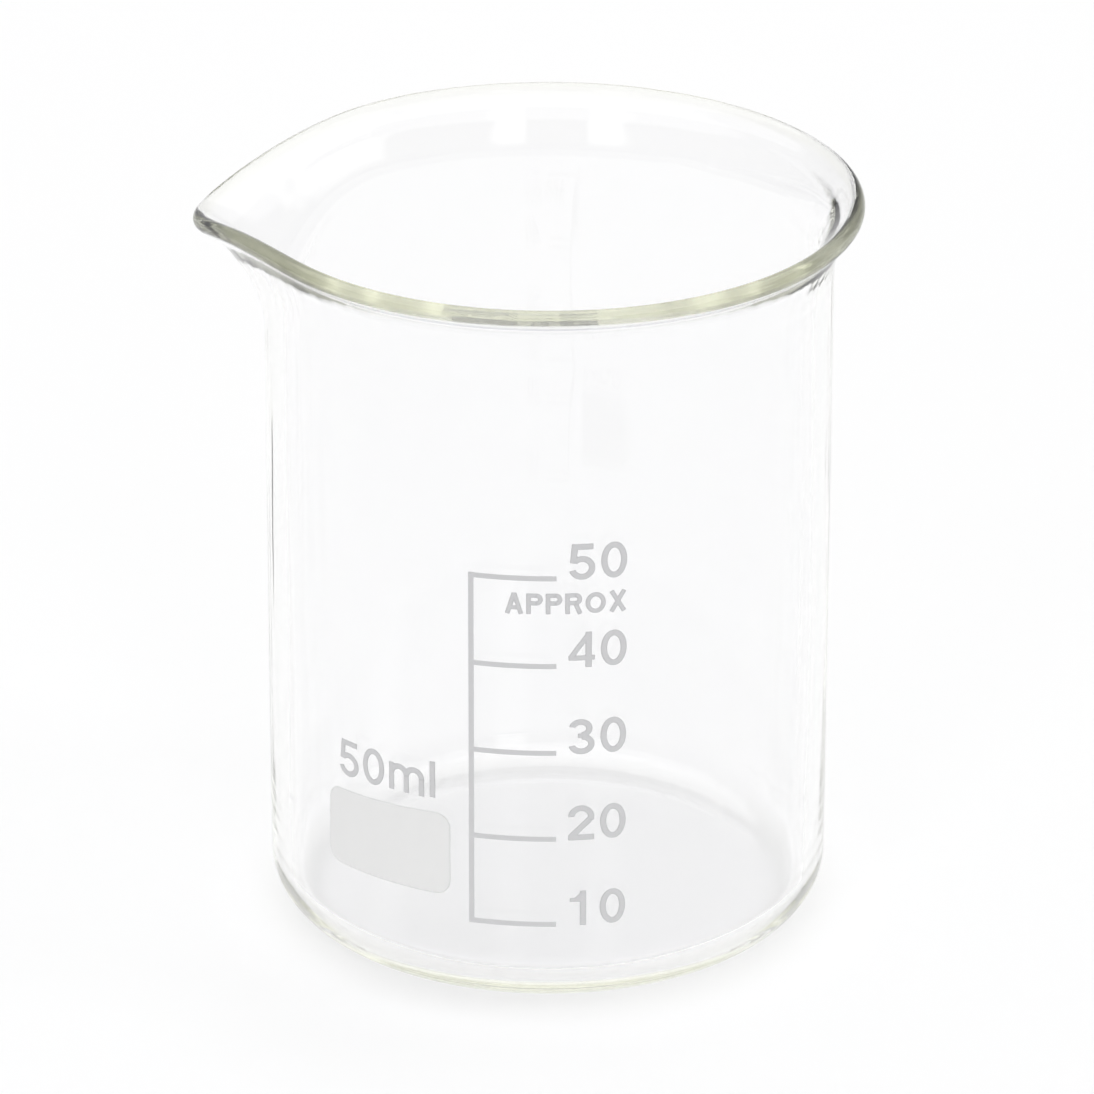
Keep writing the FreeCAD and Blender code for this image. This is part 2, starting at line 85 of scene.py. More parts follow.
# Enamel markings
CAD_PRINT = 0.05          # thickness of the markings in the frame
PRINT_HEIGHT = 0.048      # the enamel stands this far out of the wall
PRINT_ROOT = 0.012        # and is fused this far into it
PRINT_SHOULDER = 0.13     # width of its rounded edge
PRINT_GRID = 0.06         # step of the grid on which it is drawn
MARK_VOLUMES = (10, 20, 30, 40, 50)
LINE_WIDTH = 0.43         # stem and marks
LINE_STEP = 0.3           # length of their pieces, so that they follow the wall
LINE_ROUNDING = 0.55      # radius of their edges, as a share of the enamel's height
LINE_ROUNDING_STEPS = 5
NUMERAL_GAP = 0.92        # end of a mark to its numeral
NUMERAL_HEIGHT = 3.0
NUMERAL_STROKE = 0.5
NUMERAL_DROP = 0.15       # numeral's foot below its mark
WORD_HEIGHT = 1.75
WORD_STROKE = 0.37
WORD_DROP = 1.25          # top mark to the top of the word
CAPACITY_HEIGHT = 3.1
CAPACITY_STROKE = 0.48
CAPACITY_GAP = 1.2        # patch to the capacity over it
CAPACITY_RISE = 2.8       # degrees that the capacity's feet and the patch's top edge rise
PATCH_HEIGHT = 7.1        # at its end next to the scale
PATCH_CORNER = 1.3
DIGIT_GAP = 0.15          # between digits, as a share of their height
LETTER_GAP = 0.12         # between letters, as a share of their height

# Glass as a material
RIM_TINT_PALE = (0.99, 0.99, 0.985)
RIM_TINT_DEEP = (0.94, 0.942, 0.90)
WALL_TINT_PALE = (0.993, 0.993, 0.995)
WALL_TINT_DEEP = (0.982, 0.982, 0.989)
GLASS_ABSORPTION = (0.72, 0.75, 0.30, 1.0)
GLASS_DENSITY = 2.8       # per metre
STREAK_TURN = 4.0         # waves per radian of the fine lines that run along the lip
STREAK_ACROSS = 3500.0    # and per metre across it
DRAWN_TURN = 5.0          # waves per radian of the wall's slight unevenness
DRAWN_UP = 25.0           # and per metre up it
RIM_WAVE = 0.5            # the lip's lines against the wall's unevenness
GLASS_WAVE = 0.00006      # metres
WAVE_FOOT = 0.006         # metres, the unevenness begins here and is whole at twice this height
GLASS_CLOUD = 260.0       # waves per metre of the wall's tint
GLASS_IOR = 1.473

# Enamel as a material: its two tones, the darker tone of its sloping edge and its roughness
FIRED_WHITE = ((0.66, 0.66, 0.67), (0.63, 0.63, 0.64), (0.55, 0.55, 0.56), 0.30)
MATT_PATCH = ((0.88, 0.88, 0.875), (0.85, 0.85, 0.845), (0.71, 0.71, 0.71), 0.50)
ENAMEL_IOR = 1.5
ENAMEL_MOTTLE = 900.0     # waves per metre
ENAMEL_GRAIN = 9000.0
GRAIN_SHARE = 0.3         # of the grain in the tone
GRAIN_ROUGHNESS = 0.16
GRAIN_DEPTH = 0.000006    # metres
ENAMEL_EDGE_FALL = 1.5    # power by which the edge's tone fades inwards

GLASS_BOUNCES = 64

# Light: strengths of a tent over the bench, of its lower part and of the studio round it
TENT_LIGHT = (1.41, 1.41, 1.41)
LOW_TENT_LIGHT = (0.50, 0.50, 0.50)
LAMP_LIGHT = (1.7, 1.7, 1.66)
STUDIO_SIDES = (0.34, 0.34, 0.37)
STUDIO_BACK = (0.70, 0.70, 0.74)
BACK_HALF_WIDTH = 35.0    # degrees, of the lighter studio wall behind
BACK_EDGE = 40.0          # degrees, softness of that wall's sides
STUDIO_TOP = 0.12         # sine of the elevation where the tent begins
LOW_TENT_TOP = 0.62       # and up to which its lower part and the lamps reach
LIGHT_EDGE = 0.05         # softness of those limits
LAMP_EDGE = 6.0           # degrees, softness of the lamps' sides
LAMP_STRIPS = ((-15.0, 4.0), (26.0, 3.0), (90.0, 5.0))   # degrees: front to right, half width
BENCH_HALF = 0.5          # metres
BENCH_DROP = 0.0001       # metres, the bench's top under the vessel's base
BENCH_PALE = (0.90, 0.90, 0.90)
BENCH_DEEP = (0.89, 0.89, 0.895)
BENCH_ROUGHNESS = 0.8
BENCH_CLOUD = 3.0         # waves per metre


# ---------------------------------------------------------------------------
# Camera
# ---------------------------------------------------------------------------
def make_camera():
    """A long lens above the rim, a little to the right of the front line."""
    level_share = math.cos(CAMERA_DOWN)
    forward = Vector((math.sin(CAMERA_PAN) * level_share, math.cos(CAMERA_PAN) * level_share,
                      -math.sin(CAMERA_DOWN)))
    level = Vector((math.cos(CAMERA_PAN), -math.sin(CAMERA_PAN), 0.0))
    upright = level.cross(forward)
    right = level * math.cos(CAMERA_ROLL) + upright * math.sin(CAMERA_ROLL)
    up = upright * math.cos(CAMERA_ROLL) - level * math.sin(CAMERA_ROLL)
    data = bpy.data.cameras.new("camera")
    data.sensor_width = 36.0
    data.lens = CAMERA_LENS
    data.clip_start, data.clip_end = 0.01, 20.0
    camera = bpy.data.objects.new("camera", data)
    facing = Matrix((right, up, -forward)).transposed().to_4x4()
    stand = Matrix.Translation((0.0, -CAMERA_DISTANCE, CAMERA_HEIGHT))
    camera.matrix_world = (Matrix.Rotation(math.radians(CAMERA_TURN), 4, "Z") @ stand @ facing)
    bpy.context.scene.collection.objects.link(camera)
    bpy.context.scene.camera = camera


# ---------------------------------------------------------------------------
# Formulas as nodes, for geometry and for materials
# ---------------------------------------------------------------------------
class Field:
    """A value that varies over a mesh or a surface, so that nodes read as a formula."""

    def __init__(self, tree, socket):
        self.tree = tree
        self.socket = socket

    def math(self, operation, *others):
        node = self.tree.nodes.new("ShaderNodeMath")
        node.operation = operation
        for entry, value in zip(node.inputs, (self, *others)):
            if isinstance(value, Field):
                self.tree.links.new(value.socket, entry)
            else:
                entry.default_value = value
        return Field(self.tree, node.outputs[0])

    def __add__(self, other):
        return self.math("ADD", other)

    def __sub__(self, other):
        return self.math("SUBTRACT", other)

    def __rsub__(self, other):
        return self.math("MULTIPLY", -1.0).math("ADD", other)

    def __mul__(self, other):
        return self.math("MULTIPLY", other)

    def __truediv__(self, other):
        return self.math("DIVIDE", other)


def bell(reach):
    """1 at the middle, 0 from one reach outwards, level at both."""
    return ((reach.math("ABSOLUTE").math("MINIMUM", 1.0) * math.pi).math("COSINE") + 1.0) * 0.5


def pulled_bell(reach, peak=0.49, rounding=0.18):
    """A bell drawn to a point, as hot glass is when a rod pulls the spout out."""
    span = reach.math("ABSOLUTE").math("MINIMUM", 1.0)
    eased = (span * span + rounding ** 2).math("SQRT") - rounding
    return bell((eased / (math.hypot(1.0, rounding) - rounding)).math("POWER", peak))


class Tree:
    """A geometry node tree on its own, with named inputs that a modifier sets."""

    def __init__(self, name):
        self.group = bpy.data.node_groups.new(name, "GeometryNodeTree")
        for direction in ("INPUT", "OUTPUT"):
            self.group.interface.new_socket("Geometry", in_out=direction,
                                            socket_type="NodeSocketGeometry")
        self.entry = self.group.nodes.new("NodeGroupInput")
        self.exit = self.group.nodes.new("NodeGroupOutput")
        self.identifiers = {}

    def number(self, name, kind="NodeSocketFloat"):
        item = self.group.interface.new_socket(name, in_out="INPUT", socket_type=kind)
        self.identifiers[name] = item.identifier
        return Field(self.group, self.entry.outputs[item.identifier])

    def node(self, kind, inputs=(), **settings):
        node = self.group.nodes.new(kind)
        for setting, value in settings.items():
            setattr(node, setting, value)
        for entry, value in dict(inputs).items():
            if isinstance(value, Field):
                value = value.socket
            if isinstance(value, bpy.types.NodeSocket):
                self.group.links.new(value, node.inputs[entry])
            else:
                node.inputs[entry].default_value = value
        return node

    def attribute(self, name):
        return Field(self.group, self.node("GeometryNodeInputNamedAttribute", {"Name": name},
                                           data_type="FLOAT").outputs["Attribute"])

    def finish(self, geometry, material):
        """Ends the tree as every tree here ends: real geometry with its material."""
        real = self.node("GeometryNodeRealizeInstances", {"Geometry": geometry})
        finish = self.node("GeometryNodeSetMaterial",
                           {"Geometry": real.outputs[0], "Material": material})
        self.group.links.new(finish.outputs[0], self.exit.inputs[0])


def made_by(tree, values, mesh, name):
    """Runs a tree over a mesh and returns a piece that holds the plain result."""
    seed = bpy.data.objects.new(f"{name}_seed", mesh)
    bpy.context.scene.collection.objects.link(seed)
    modifier = seed.modifiers.new(name, "NODES")
    modifier.node_group = tree.group
    for entry, value in values.items():
        modifier[tree.identifiers[entry]] = value
    evaluated = seed.evaluated_get(bpy.context.evaluated_depsgraph_get())
    result = bpy.data.meshes.new_from_object(evaluated)
    bpy.data.objects.remove(seed)
    result.name = name
    piece = bpy.data.objects.new(name, result)
    bpy.context.scene.collection.objects.link(piece)
    return piece


def place_piece(piece, slot, *nodes):
    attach(piece, "root")
    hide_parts(*nodes)


# ---------------------------------------------------------------------------
# Glass vessel
# ---------------------------------------------------------------------------
def arc(centre, radius, start, end, steps):
    """Points on an arc, from a start to an end angle in degrees."""
    for step in range(steps + 1):
        angle = math.radians(start + (end - start) * step / steps)
        yield centre[0] + radius * math.cos(angle), centre[1] + radius * math.sin(angle)


FLARE_PARTS = ("outer_flare", "bead", "inner_flare")


def vessel_section():
    """The section's points in order, from the middle of the underside to the middle of the floor.

    Points below the flare hold their radius and height. The others hold which part of the rim they
    lie on and how far along it, because the rim's own shape changes round the vessel.
    """
    flat = BODY_RADIUS - HEEL_RADIUS
    bore = BODY_RADIUS - WALL
    inner_heel = HEEL_RADIUS - WALL
    points = [(radius, 0.0) for radius in np.linspace(0.0, flat, 8)[:-1]]
    points += arc((flat, HEEL_RADIUS), HEEL_RADIUS, -90, 0, 16)
    points += [(BODY_RADIUS, height) for height in np.linspace(HEEL_RADIUS, PLAIN_WALL, 8)[1:]]
    section = [(radius, height, "fixed", 0.0) for radius, height in points]
    section += [(0.0, 0.0, "outer_flare", share) for share in np.linspace(0, 1, 22)]
    section += [(0.0, 0.0, "bead", share) for share in np.linspace(0, 1, 20)[1:-1]]
    section += [(0.0, 0.0, "inner_flare", share) for share in np.linspace(1, 0, 22)]
    points = [(bore, height) for height in np.linspace(PLAIN_WALL, BASE + inner_heel, 8)[:-1]]
    points += arc((flat, BASE + inner_heel), inner_heel, 0, -90, 12)
    points += [(radius, BASE) for radius in np.linspace(flat, 0.0, 8)[1:]]
    return section + [(radius, height, "fixed", 0.0) for radius, height in points]


def section_mesh(section):
    mesh = bpy.data.meshes.new("vessel_section")
    mesh.from_pydata([(radius, 0.0, height) for radius, height, _part, _share in section],
                     [(step, step + 1) for step in range(len(section) - 1)], [])
    columns = {
        "fixed_radius": [radius for radius, _height, _part, _share in section],
        "fixed_height": [height for _radius, height, _part, _share in section],
        "share": [share for _radius, _height, _part, share in section],
    }
    for part in FLARE_PARTS:
        columns[part] = [float(name == part) for _radius, _height, name, _share in section]
    for name, values in columns.items():
        mesh.attributes.new(name, "FLOAT", "POINT").data.foreach_set("value", values)
    return mesh


def flare(edge_radius, edge_height, wall_radius, angle, share, waist):
    """Radius and height on the arc that leaves the wall upright and meets the lip's edge.

    Next to the bead the arc lies outwards of its true line by the waist. The waist is below zero
    on the outside, so the glass is thinner there than the bead.
    """
    arc_radius = (edge_radius - wall_radius) / (1.0 - angle.math("COSINE"))
    root = edge_height - arc_radius * angle.math("SINE")
    turned = angle * share
    lean, rise = turned.math("COSINE"), turned.math("SINE")
    shift = bell((share - WAIST_PLACE) / (1.0 - WAIST_PLACE)) * waist
    return (wall_radius + arc_radius * (1.0 - lean) + shift * lean,
            root + arc_radius * rise - shift * rise)


def vessel_tree():
    """Sweeps the section round the axis; flare, bead and spout follow the turn from the tip."""
    tree = Tree("beaker_vessel")
    steps = tree.number("Turn steps", "NodeSocketInt")
    body_radius = tree.number("Body radius")
    wall = tree.number("Wall")
    lip_radius = tree.number("Lip radius")
    lip_height = tree.number("Lip height")
    bead = tree.number("Lip bead")
    waist = tree.number("Lip waist")
    flare_angle = tree.number("Flare angle")
    spout_reach = tree.number("Spout reach")
    spout_dip = tree.number("Spout dip")
    spout_angle = tree.number("Spout angle")
    spout_half_angle = tree.number("Spout half angle")
    dip_half_angle = tree.number("Dip half angle")
    material = tree.number("Glass", "NodeSocketMaterial")

    # Steps round the axis, from -1 to 1, crowded towards the tip at 0
    ring = tree.node("GeometryNodeCurvePrimitiveCircle", {"Resolution": steps})
    index = Field(tree.group, tree.node("GeometryNodeInputIndex").outputs[0])
    along = index / steps * 2.0 - 1.0
    turn = (along - (along * math.pi).math("SINE") * (TURN_CROWDING / math.pi)) * 180.0
    named_ring = tree.node("GeometryNodeStoreNamedAttribute",
                           {"Geometry": ring.outputs["Curve"], "Name": "turn", "Value": turn},
                           data_type="FLOAT", domain="POINT")
    profile = tree.node("GeometryNodeMeshToCurve", {"Mesh": tree.entry.outputs[0]})
    swept = tree.node("GeometryNodeCurveToMesh", {"Curve": named_ring.outputs[0],
                                                  "Profile Curve": profile.outputs[0]})

    turn = tree.attribute("turn")
    spout = pulled_bell(turn / spout_half_angle)
    dip = pulled_bell(turn / dip_half_angle)
    edge_radius = lip_radius + spout * spout_reach - bead
    edge_height = lip_height - dip * spout_dip - bead
    angle = (flare_angle + dip * (spout_angle - flare_angle)) * math.radians(1.0)

    share = tree.attribute("share")
    lean, rise = angle.math("COSINE"), angle.math("SINE")
    outer = flare(edge_radius + bead * lean, edge_height - bead * rise, body_radius, angle, share,
                  waist * -1.0)
    inner = flare(edge_radius - bead * lean, edge_height + bead * rise, body_radius - wall, angle,
                  share, waist)
    round_bead = share * math.pi
    across, onward = bead * round_bead.math("COSINE"), bead * round_bead.math("SINE")
    edge = (edge_radius + across * lean + onward * rise,
            edge_height - across * rise + onward * lean)

    on_outer, on_bead, on_inner = (tree.attribute(name) for name in FLARE_PARTS)
    rim = on_bead + (on_outer + on_inner) * share.math("POWER", RIM_FALL)
    radius, height = ((tree.attribute(f"fixed_{axis}") + on_outer * outer[column]
                       + on_bead * edge[column] + on_inner * inner[column]) * MM
                      for column, axis in enumerate(("radius", "height")))
    heading = (turn + 180.0) * math.radians(1.0)
    place = tree.node("ShaderNodeCombineXYZ", {"X": radius * heading.math("COSINE"),
                                               "Y": radius * heading.math("SINE"), "Z": height})
    marked = tree.node("GeometryNodeStoreNamedAttribute",
                       {"Geometry": swept.outputs[0], "Name": "rim", "Value": rim},
                       data_type="FLOAT", domain="POINT")
    shaped = tree.node("GeometryNodeSetPosition", {"Geometry": marked.outputs[0],
                                                   "Position": place.outputs[0]})
    closed = tree.node("GeometryNodeMergeByDistance",
                       {"Geometry": shaped.outputs[0], "Distance": MERGE_DISTANCE})
    outward = tree.node("GeometryNodeFlipFaces", {"Mesh": closed.outputs[0]})
    smooth = tree.node("GeometryNodeSetShadeSmooth",
                       {"Geometry": outward.outputs[0], "Shade Smooth": True})
    tree.finish(smooth.outputs[0], material)
    return tree


def make_vessel(glass):
    values = {
        "Turn steps": TURN_STEPS, "Body radius": BODY_RADIUS, "Wall": WALL,
        "Lip radius": LIP_RADIUS, "Lip height": LIP_HEIGHT, "Lip bead": LIP_BEAD,
        "Lip waist": LIP_WAIST, "Flare angle": FLARE_ANGLE, "Spout reach": SPOUT_REACH,
        "Spout dip": SPOUT_DIP, "Spout angle": SPOUT_ANGLE, "Spout half angle": SPOUT_HALF_ANGLE,
        "Dip half angle": DIP_HALF_ANGLE, "Glass": glass,
    }
    vessel = made_by(vessel_tree(), values, section_mesh(vessel_section()), "clear_glass_vessel")
    place_piece(vessel, "glass", "glass_vessel")


# ---------------------------------------------------------------------------
# Enamel markings: drawn flat as fields of depth inside their strokes, then laid on the wall
# ---------------------------------------------------------------------------
def bar(start, end, stroke):
    """A straight stroke with square ends: how deep inside it a point lies, below zero outside."""
    middle = ((start[0] + end[0]) / 2, (start[1] + end[1]) / 2)
    length = math.dist(start, end)
    along = ((end[0] - start[0]) / length, (end[1] - start[1]) / length)

    def depth(x, y):
        x, y = x - middle[0], y - middle[1]
        return np.minimum(length / 2 - abs(x * along[0] + y * along[1]),
                          stroke / 2 - abs(y * along[0] - x * along[1]))
    return depth


def bow(centre, half_width, half_height, stroke, start=0, sweep=360):
    """Part of an oval ring, from a start angle through a sweep in degrees."""
    across, up = half_width - stroke / 2, half_height - stroke / 2
    first, last = math.radians(start), math.radians(start + sweep)

    def depth(x, y):
        x, y = x - centre[0], y - centre[1]
        column, row = abs(x / across) + 1e-9, abs(y / up) + 1e-9
        level = np.hypot(column, row)
        steepness = np.hypot(column / across, row / up) / level
        ring = stroke / 2 - abs(level - 1) / steepness
        if sweep >= 360:
            return ring
        after_first = y * math.cos(first) - x * math.sin(first)
        before_last = x * math.sin(last) - y * math.cos(last)
        fan = np.minimum if sweep <= 180 else np.maximum
        return np.minimum(ring, fan(after_first, before_last))
    return depth


def digit_width(height):
    return 0.68 * height


def glyph_0(height, stroke):
    width = digit_width(height)
    return width, [bow((width / 2, height / 2), width / 2, height / 2, stroke)]


def glyph_1(height, stroke):
    width = digit_width(height)
    stem, flag = 0.58 * width, 0.74 * height
    return width, [bar((stem, 0), (stem, height), stroke),
                   bar((0.07 * width, flag), (stem, flag), 0.7 * stroke),
                   bar((0.30 * width, flag), (stem, 0.93 * height), 0.7 * stroke)]


def glyph_2(height, stroke):
    width = digit_width(height)
    bowl = 0.33 * height
    return width, [bow((width / 2, height - bowl), width / 2, bowl, stroke, -20, 200),
                   bar((0.84 * width, 0.60 * height), (0.10 * width, 0.6 * stroke), stroke),
                   bar((0, stroke / 2), (width, stroke / 2), stroke)]


def glyph_3(height, stroke):
    width = digit_width(height)
    upper, lower = 0.27 * height, 0.29 * height
    return width, [bow((0.47 * width, height - upper), 0.45 * width, upper, stroke, -80, 250),
                   bow((width / 2, lower), width / 2, lower, stroke, -170, 260),
                   bar((0.36 * width, 0.53 * height), (0.55 * width, 0.53 * height), 0.8 * stroke)]


def glyph_4(height, stroke):
    width = digit_width(height)
    stem, cross = 0.76 * width, 0.27 * height
    return width, [bar((stem, 0), (stem, height), stroke),
                   bar((0, cross), (width, cross), 0.85 * stroke),
                   bar((0.07 * width, cross), (stem, 0.93 * height), 0.85 * stroke)]


def glyph_5(height, stroke):
    width = digit_width(height)
    bowl = 0.33 * height
    top = height - stroke / 2
    return width, [bow((width / 2, bowl), width / 2, bowl, stroke, -165, 305),
                   bar((0.17 * width, 0.46 * height), (0.24 * width, height), stroke),
                   bar((0.14 * width, top), (0.93 * width, top), stroke)]


def glyph_a(height, stroke):
    width = 0.82 * height
    lean = stroke / 2
    return width, [bar((lean, 0), (width / 2, height), stroke),
                   bar((width - lean, 0), (width / 2, height), stroke),
                   bar((0.24 * width, 0.30 * height), (0.76 * width, 0.30 * height), 0.9 * stroke)]


def bowl_strokes(width, height, stroke):
    """The stem and closed bowl that P and R share."""
    bowl = 0.29 * height
    shoulder = width - bowl
    top, waist = height - stroke / 2, height - 2 * bowl + stroke / 2
    return [bar((stroke / 2, 0), (stroke / 2, height), stroke),
            bar((0, top), (shoulder, top), stroke),
            bar((0, waist), (shoulder, waist), stroke),
            bow((shoulder, height - bowl), bowl, bowl, stroke, -90, 180)]


def glyph_p(height, stroke):
    width = 0.73 * height
    return width, bowl_strokes(width, height, stroke)


def glyph_r(height, stroke):
    width = 0.77 * height
    leg = bar((0.62 * width, 0.45 * height), (width - stroke / 2, 0), stroke)
    return width, [*bowl_strokes(width - 0.02 * height, height, stroke), leg]


def glyph_o(height, stroke):
    width = 0.90 * height
    return width, [bow((width / 2, height / 2), width / 2, height / 2, stroke)]


def glyph_x(height, stroke):
    width = 0.83 * height
    lean = 0.6 * stroke
    return width, [bar((lean, 0), (width - lean, height), stroke),
                   bar((width - lean, 0), (lean, height), stroke)]


def glyph_m(height, stroke):
    width, small = 1.02 * height, 0.76 * height
    middle = width / 2
    arch = (middle + stroke / 2) / 2
    strokes = [bar((stroke / 2, 0), (stroke / 2, small), stroke)]
    for left in (0, middle - stroke / 2):
        right = left + 2 * arch - stroke / 2
        strokes.append(bow((left + arch, small - arch), arch, arch, stroke, 0, 180))
        strokes.append(bar((right, 0), (right, small - arch), stroke))
    return width, strokes


def glyph_l(height, stroke):
    return stroke, [bar((stroke / 2, 0), (stroke / 2, height), stroke)]


GLYPHS = {
    "0": glyph_0, "1": glyph_1, "2": glyph_2, "3": glyph_3, "4": glyph_4, "5": glyph_5,
    "A": glyph_a, "P": glyph_p, "R": glyph_r, "O": glyph_o, "X": glyph_x,
    "m": glyph_m, "l": glyph_l,
}


def text_width(text, height, stroke, gap):
    widths = [GLYPHS[character](height, stroke)[0] for character in text]
    return sum(widths) + gap * height * (len(text) - 1)


def text_field(text, left, foot, height, stroke, gap, rise=0.0):
    """Upright characters side by side as one field of depth, on a foot line that may rise."""
    strokes = []
    start = left
    for character in text:
        width, drawn = GLYPHS[character](height, stroke)
        lift = foot + (left + width / 2 - start) * math.tan(math.radians(rise))
        strokes += [(left, lift, stroke_depth) for stroke_depth in drawn]
        left += width + gap * height

    def depth(x, y):
        return np.maximum.reduce([stroke_depth(x - shift, y - lift)
                                  for shift, lift, stroke_depth in strokes])
    return depth


def patch_field(left, right, foot, top, rise, corner):
    """The writing patch: four sides, the top one rising to the right, and rounded corners."""
    lean = math.radians(rise)

    def depth(x, y):
        sides = [x - left, right - x, y - foot,
                 (top - y) * math.cos(lean) - (right - x) * math.sin(lean)]
        inner = [np.maximum(corner - side, 0.0) for side in sides]
        flat = np.minimum.reduce([*sides, corner + 0 * x])
        corners = [np.hypot(inner[column], inner[row]) for column in (0, 1) for row in (2, 3)]
        return np.minimum(flat, corner - np.maximum.reduce(corners))
    return depth


def flat_print(name, depth, box, grid):
    """Meshes a field of depth as flat enamel, closed all round, with soft shoulders.

    x runs along the wall, z is the height and y is the way into the wall.
    """
    left, right, foot, top = box
    x = np.arange(left - grid, right + 2 * grid, grid)
    y = np.arange(foot - grid, top + 2 * grid, grid)
    field = depth(*np.meshgrid(x, y, indexing="ij"))
    places, depths, corners, cuts, faces = [], [], {}, {}, []

    def corner(column, row):
        if (column, row) not in corners:
            corners[column, row] = len(places)
            places.append((x[column], y[row]))
            depths.append(field[column, row])
        return corners[column, row]

    def cut(first, second):
        key = (min(first, second), max(first, second))
        if key not in cuts:
            cuts[key] = len(places)
            (low, high), share = key, field[key[0]] / (field[key[0]] - field[key[1]])
            places.append((x[low[0]] + share * (x[high[0]] - x[low[0]]),
                           y[low[1]] + share * (y[high[1]] - y[low[1]])))
            depths.append(0.0)
        return cuts[key]

    inside = field > 0
    touched = inside[:-1, :-1] | inside[1:, :-1] | inside[1:, 1:] | inside[:-1, 1:]
    for column, row in np.argwhere(touched):
        cell = [(column, row), (column + 1, row), (column + 1, row + 1), (column, row + 1)]
        face = []
        for here, there in zip(cell, cell[1:] + cell[:1]):
            if inside[here]:
                face.append(corner(*here))
            if inside[here] != inside[there]:
                face.append(cut(here, there))
        faces.append(face)

    slope = 1 - np.minimum(np.array(depths) / PRINT_SHOULDER, 1.0)
    rise = PRINT_HEIGHT * np.sqrt(1 - slope ** 2)
    count = len(places)
    vertices = [(along, -out, height) for (along, height), out in zip(places, rise)]
    vertices += [(along, PRINT_ROOT, height) for along, height in places]
    sides = {(start, end) for face in faces for start, end in zip(face, face[1:] + face[:1])}
    borders = [(start, end) for start, end in sides if (end, start) not in sides]
    polygons = faces + [[count + corner for corner in reversed(face)] for face in faces]
    polygons += [[end, start, count + start, count + end] for start, end in sorted(borders)]
    mesh = bpy.data.meshes.new(f"{name}_flat")
    mesh.from_pydata(vertices, [], polygons)
    edge = mesh.attributes.new("enamel_edge", "FLOAT", "POINT")
    edge.data.foreach_set("value", np.tile(slope, 2))
    return mesh


def lay_on_wall(tree, flat_geometry, body_radius):
    """Rolls flat enamel round the wall: x along the wall from the front line, y into it, z up."""
    place = tree.node("ShaderNodeSeparateXYZ",
                      {"Vector": tree.node("GeometryNodeInputPosition").outputs[0]})
    along, inwards, height = (Field(tree.group, socket) for socket in place.outputs)
    radius = (body_radius - inwards) * MM
    turn = along / body_radius
    rolled = tree.node("ShaderNodeCombineXYZ", {
        "X": radius * turn.math("SINE"), "Y": radius * turn.math("COSINE") * -1.0,
        "Z": height * MM})
    laid = tree.node("GeometryNodeSetPosition",
                     {"Geometry": flat_geometry, "Position": rolled.outputs[0]})
    return tree.node("GeometryNodeSetShadeSmooth",
                     {"Geometry": laid.outputs[0], "Shade Smooth": True})


def print_tree():
    tree = Tree("print_on_wall")
    body_radius = tree.number("Body radius")
    material = tree.number("Enamel", "NodeSocketMaterial")
    laid = lay_on_wall(tree, tree.entry.outputs[0], body_radius)
    tree.finish(laid.outputs[0], material)
    return tree


def scale_tree():
    """The stem and its marks: a stroke along a line, and the mark set down at each division."""
    tree = Tree("graduation_lines")
    body_radius = tree.number("Body radius")
    marks = tree.number("Marks", "NodeSocketInt")
    spacing = tree.number("Mark spacing")
    first = tree.number("First mark")
    stem_left = tree.number("Stem's left side")
    mark_right = tree.number("Marks' right end")
    line = tree.number("Line width")
    rise = tree.number("Enamel height")
    root = tree.number("Enamel root")
    material = tree.number("Enamel", "NodeSocketMaterial")

    section = tree.node("GeometryNodeCurvePrimitiveQuadrilateral",
                        {"Width": line, "Height": rise + root})
    soft = tree.node("GeometryNodeFilletCurve",
                     {"Curve": section.outputs[0], "Radius": rise * LINE_ROUNDING,
                      "Count": LINE_ROUNDING_STEPS}, mode="POLY")

    def stroke(start, end, tilt):
        path = tree.node("GeometryNodeCurvePrimitiveLine", {
            "Start": tree.node("ShaderNodeCombineXYZ", start).outputs[0],
            "End": tree.node("ShaderNodeCombineXYZ", end).outputs[0]})
        steps = tree.node("GeometryNodeResampleCurve",
                          {"Curve": path.outputs[0], "Length": LINE_STEP}, mode="LENGTH")
        flat = tree.node("GeometryNodeSetCurveTilt", {"Curve": steps.outputs[0], "Tilt": tilt})
        return tree.node("GeometryNodeCurveToMesh", {"Curve": flat.outputs[0],
                                                     "Profile Curve": soft.outputs[0],
                                                     "Fill Caps": True})

    sunk = (root - rise) * 0.5
    top = first + spacing * (marks - 1.0)
    stem = stroke({"X": stem_left + line * 0.5, "Y": sunk, "Z": first - line * 0.5},
                  {"X": stem_left + line * 0.5, "Y": sunk, "Z": top + line * 0.5}, 0.0)
    mark = stroke({"X": stem_left, "Y": sunk, "Z": first},
                  {"X": mark_right, "Y": sunk, "Z": first}, math.pi / 2)
    divisions = tree.node("GeometryNodeMeshLine", {
        "Count": marks, "Offset": tree.node("ShaderNodeCombineXYZ", {"Z": spacing}).outputs[0]})
    repeated = tree.node("GeometryNodeInstanceOnPoints", {"Points": divisions.outputs[0],
                                                          "Instance": mark.outputs[0]})
    real = tree.node("GeometryNodeRealizeInstances", {"Geometry": repeated.outputs[0]})
    joined = tree.node("GeometryNodeMeshBoolean", {}, operation="UNION", solver="EXACT")
    tree.group.links.new(real.outputs[0], joined.inputs["Mesh 2"])
    tree.group.links.new(stem.outputs[0], joined.inputs["Mesh 2"])
    laid = lay_on_wall(tree, joined.outputs[0], body_radius)
    tree.finish(laid.outputs[0], material)
    return tree


def print_box(node):
    """A CAD marking's extent as drawn flat: left, right, foot and top, in millimetres."""
    low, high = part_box(node)
    left, right = (BODY_RADIUS * math.asin(x / MM / (BODY_RADIUS + CAD_PRINT))
                   for x in (low.x, high.x))
    return left, right, low.z / MM, high.z / MM


